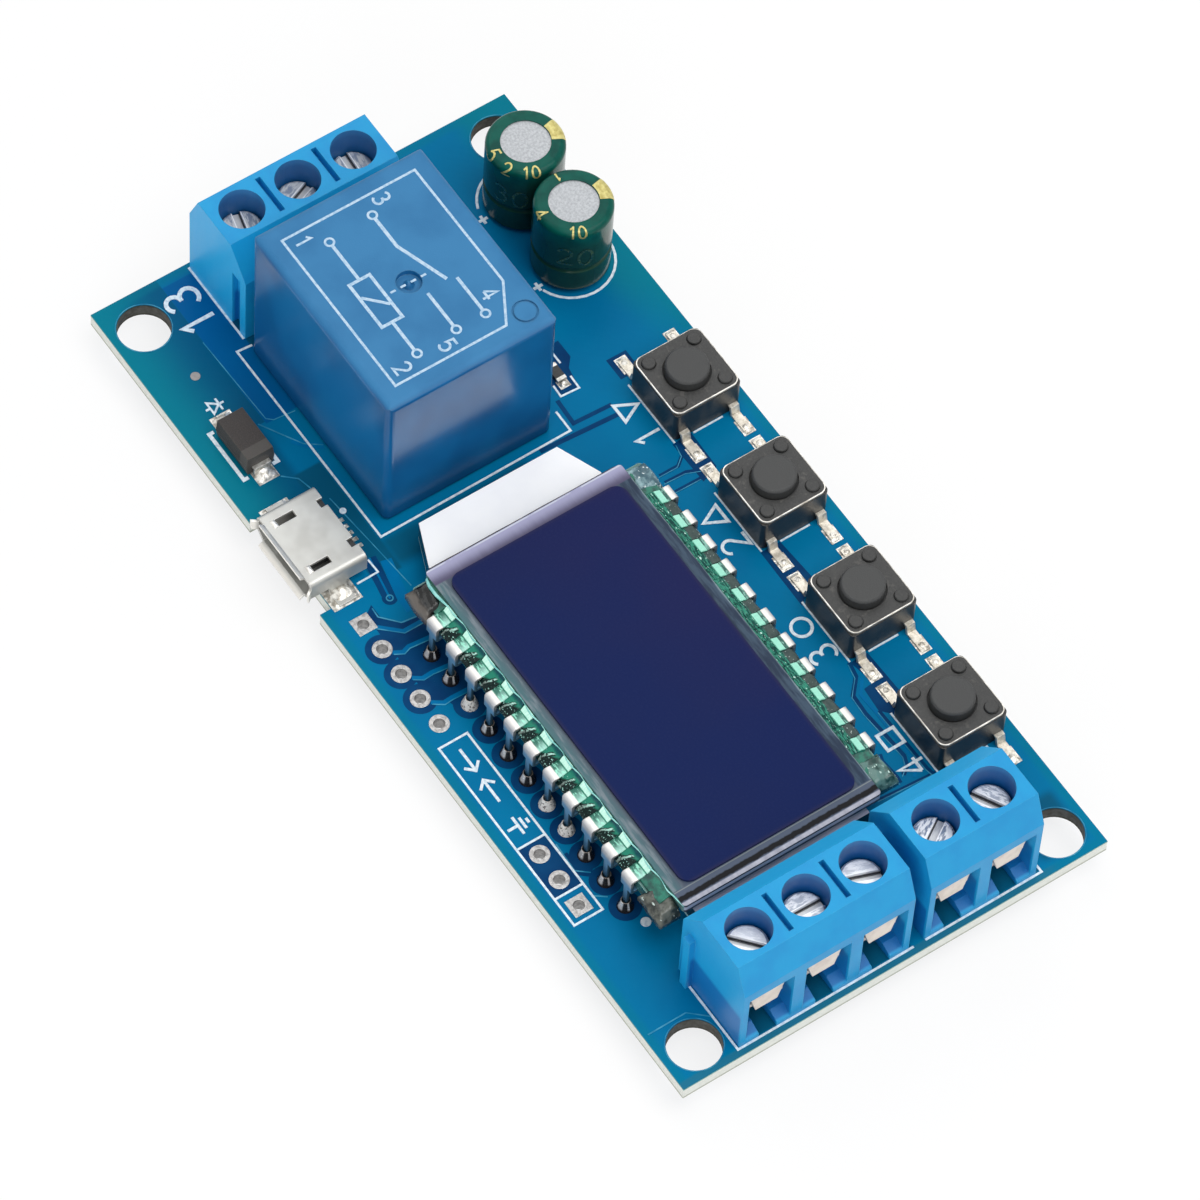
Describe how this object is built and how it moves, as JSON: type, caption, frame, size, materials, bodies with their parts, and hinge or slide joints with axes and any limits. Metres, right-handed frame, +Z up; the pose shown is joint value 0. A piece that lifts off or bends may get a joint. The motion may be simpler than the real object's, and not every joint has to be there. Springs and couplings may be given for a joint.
{
  "type": "timer relay module",
  "caption": "Flat circuit board module that times and switches a load: cube relay, screw terminals, segment display, push buttons and a micro USB power inlet.",
  "frame": {"origin": "centre of the four mounting holes on the underside of the board", "axes": "+X from the relay end to the front screw terminals, +Y to the edge with the buttons, +Z up out of the board"},
  "size_m": [0.0792, 0.0383, 0.0185],
  "materials": {
    "board": "blue-green solder mask with white print, pale fibre edge",
    "tinned": "bright tin plating",
    "solder": "bright solder",
    "relay_blue": "royal blue moulding with light print on top",
    "relay_base": "dark moulding",
    "bobbin": "natural moulding",
    "copper": "enamelled copper winding",
    "iron": "plated soft iron",
    "contact_alloy": "rolled contact alloy",
    "terminal_blue": "bright blue moulding",
    "plated_steel": "zinc plated steel",
    "glass": "clear glass with cut edges",
    "window": "dark blue polarising film",
    "film": "grey polarising film",
    "light_guide": "clear moulding",
    "white_film": "white reflector film",
    "resin": "clear greenish resin",
    "black": "black moulding",
    "button_cover": "black plate with bright cut edges",
    "sleeve_green": "dark green sleeve with light print",
    "aluminium": "drawn aluminium",
    "bung": "black rubber",
    "nickel": "nickel plated shell",
    "gold": "gold flash",
    "chip_black": "black moulding"
  },
  "bodies": {
    "module": {"circuit_board": "board", "header_eyelets": "tinned", "solder_joints": "solder", "relay_cover": "relay_blue", "relay_base": "relay_base", "relay_bobbin": "bobbin", "relay_winding": "copper", "relay_core": "iron", "relay_yoke": "iron", "relay_terminals": "tinned", "rear_block": "terminal_blue", "front_long_block": "terminal_blue", "front_short_block": "terminal_blue", "terminal_clamps": "tinned", "display_front_glass": "glass", "display_rear_glass": "glass", "display_front_film": "window", "display_rear_film": "film", "display_light_guide": "light_guide", "display_reflector": "white_film", "display_pins": "tinned", "display_resin": "resin", "button_bases": "black", "button_covers": "button_cover", "button_domes": "plated_steel", "button_legs": "tinned", "capacitor_sleeves": "sleeve_green", "capacitor_cans": "aluminium", "capacitor_bungs": "bung", "capacitor_leads": "tinned", "diode_body": "chip_black", "diode_leads": "tinned", "usb_shell": "nickel", "usb_insert": "black", "usb_contacts": "gold", "chip_bodies": "chip_black", "chip_leads": "tinned"},
    "rear_wire_plate_1": {"rear_plate_1": "tinned"},
    "rear_clamp_screw_1": {"rear_screw_1": "plated_steel"},
    "rear_wire_plate_2": {"rear_plate_2": "tinned"},
    "rear_clamp_screw_2": {"rear_screw_2": "plated_steel"},
    "rear_wire_plate_3": {"rear_plate_3": "tinned"},
    "rear_clamp_screw_3": {"rear_screw_3": "plated_steel"},
    "long_wire_plate_1": {"long_plate_1": "tinned"},
    "long_clamp_screw_1": {"long_screw_1": "plated_steel"},
    "long_wire_plate_2": {"long_plate_2": "tinned"},
    "long_clamp_screw_2": {"long_screw_2": "plated_steel"},
    "long_wire_plate_3": {"long_plate_3": "tinned"},
    "long_clamp_screw_3": {"long_screw_3": "plated_steel"},
    "short_wire_plate_1": {"short_plate_1": "tinned"},
    "short_clamp_screw_1": {"short_screw_1": "plated_steel"},
    "short_wire_plate_2": {"short_plate_2": "tinned"},
    "short_clamp_screw_2": {"short_screw_2": "plated_steel"},
    "button_plunger_1": {"plunger_1": "black"},
    "button_plunger_2": {"plunger_2": "black"},
    "button_plunger_3": {"plunger_3": "black"},
    "button_plunger_4": {"plunger_4": "black"},
    "armature": {"relay_armature": "iron", "relay_contact_spring": "contact_alloy"}
  },
  "joints": [
    {"name": "rear_plate_1_lift", "type": "slide", "parent": "module", "child": "rear_wire_plate_1", "axis": [0, 0, 1], "range_m": [-0.0013, 0.0006]},
    {"name": "rear_screw_1_turn", "type": "hinge", "parent": "rear_wire_plate_1", "child": "rear_clamp_screw_1", "pos_m": [-0.03612, -0.00774, 0.0083], "axis": [0, 0, 1], "range_deg": [-937.87, 432.86]},
    {"name": "rear_plate_2_lift", "type": "slide", "parent": "module", "child": "rear_wire_plate_2", "axis": [0, 0, 1], "range_m": [-0.0013, 0.0006]},
    {"name": "rear_screw_2_turn", "type": "hinge", "parent": "rear_wire_plate_2", "child": "rear_clamp_screw_2", "pos_m": [-0.03612, -0.00274, 0.0083], "axis": [0, 0, 1], "range_deg": [-937.87, 432.86]},
    {"name": "rear_plate_3_lift", "type": "slide", "parent": "module", "child": "rear_wire_plate_3", "axis": [0, 0, 1], "range_m": [-0.0013, 0.0006]},
    {"name": "rear_screw_3_turn", "type": "hinge", "parent": "rear_wire_plate_3", "child": "rear_clamp_screw_3", "pos_m": [-0.03612, 0.00226, 0.0083], "axis": [0, 0, 1], "range_deg": [-937.87, 432.86]},
    {"name": "long_plate_1_lift", "type": "slide", "parent": "module", "child": "long_wire_plate_1", "axis": [0, 0, 1], "range_m": [-0.0015, 0.0006]},
    {"name": "long_screw_1_turn", "type": "hinge", "parent": "long_wire_plate_1", "child": "long_clamp_screw_1", "pos_m": [0.03527, -0.01108, 0.0083], "axis": [0, 0, 1], "range_deg": [-1082.16, 432.86]},
    {"name": "long_plate_2_lift", "type": "slide", "parent": "module", "child": "long_wire_plate_2", "axis": [0, 0, 1], "range_m": [-0.0015, 0.0006]},
    {"name": "long_screw_2_turn", "type": "hinge", "parent": "long_wire_plate_2", "child": "long_clamp_screw_2", "pos_m": [0.03527, -0.00608, 0.0083], "axis": [0, 0, 1], "range_deg": [-1082.16, 432.86]},
    {"name": "long_plate_3_lift", "type": "slide", "parent": "module", "child": "long_wire_plate_3", "axis": [0, 0, 1], "range_m": [-0.0015, 0.0006]},
    {"name": "long_screw_3_turn", "type": "hinge", "parent": "long_wire_plate_3", "child": "long_clamp_screw_3", "pos_m": [0.03527, -0.00108, 0.0083], "axis": [0, 0, 1], "range_deg": [-1082.16, 432.86]},
    {"name": "short_plate_1_lift", "type": "slide", "parent": "module", "child": "short_wire_plate_1", "axis": [0, 0, 1], "range_m": [-0.0015, 0.0006]},
    {"name": "short_screw_1_turn", "type": "hinge", "parent": "short_wire_plate_1", "child": "short_clamp_screw_1", "pos_m": [0.03527, 0.00532, 0.0083], "axis": [0, 0, 1], "range_deg": [-1082.16, 432.86]},
    {"name": "short_plate_2_lift", "type": "slide", "parent": "module", "child": "short_wire_plate_2", "axis": [0, 0, 1], "range_m": [-0.0015, 0.0006]},
    {"name": "short_screw_2_turn", "type": "hinge", "parent": "short_wire_plate_2", "child": "short_clamp_screw_2", "pos_m": [0.03527, 0.01032, 0.0083], "axis": [0, 0, 1], "range_deg": [-1082.16, 432.86]},
    {"name": "button_1_press", "type": "slide", "parent": "module", "child": "button_plunger_1", "axis": [0, 0, -1], "range_m": [0, 0.00025], "stiffness_N_per_m": 400, "springref_m": -0.001},
    {"name": "button_2_press", "type": "slide", "parent": "module", "child": "button_plunger_2", "axis": [0, 0, -1], "range_m": [0, 0.00025], "stiffness_N_per_m": 400, "springref_m": -0.001},
    {"name": "button_3_press", "type": "slide", "parent": "module", "child": "button_plunger_3", "axis": [0, 0, -1], "range_m": [0, 0.00025], "stiffness_N_per_m": 400, "springref_m": -0.001},
    {"name": "button_4_press", "type": "slide", "parent": "module", "child": "button_plunger_4", "axis": [0, 0, -1], "range_m": [0, 0.00025], "stiffness_N_per_m": 400, "springref_m": -0.001},
    {"name": "armature_pull", "type": "hinge", "parent": "module", "child": "armature", "pos_m": [-0.01445, -0.00286, 0.01265], "axis": [0, -1, 0], "range_deg": [0, 2.2], "stiffness_Nm_per_rad": 0.002, "springref_deg": -5.73}
  ],
  "couplings": [
    {"joint": "rear_screw_1_turn", "follows": "rear_plate_1_lift", "rad_per_m": 12566},
    {"joint": "rear_screw_2_turn", "follows": "rear_plate_2_lift", "rad_per_m": 12566},
    {"joint": "rear_screw_3_turn", "follows": "rear_plate_3_lift", "rad_per_m": 12566},
    {"joint": "long_screw_1_turn", "follows": "long_plate_1_lift", "rad_per_m": 12566},
    {"joint": "long_screw_2_turn", "follows": "long_plate_2_lift", "rad_per_m": 12566},
    {"joint": "long_screw_3_turn", "follows": "long_plate_3_lift", "rad_per_m": 12566},
    {"joint": "short_screw_1_turn", "follows": "short_plate_1_lift", "rad_per_m": 12566},
    {"joint": "short_screw_2_turn", "follows": "short_plate_2_lift", "rad_per_m": 12566}
  ]
}
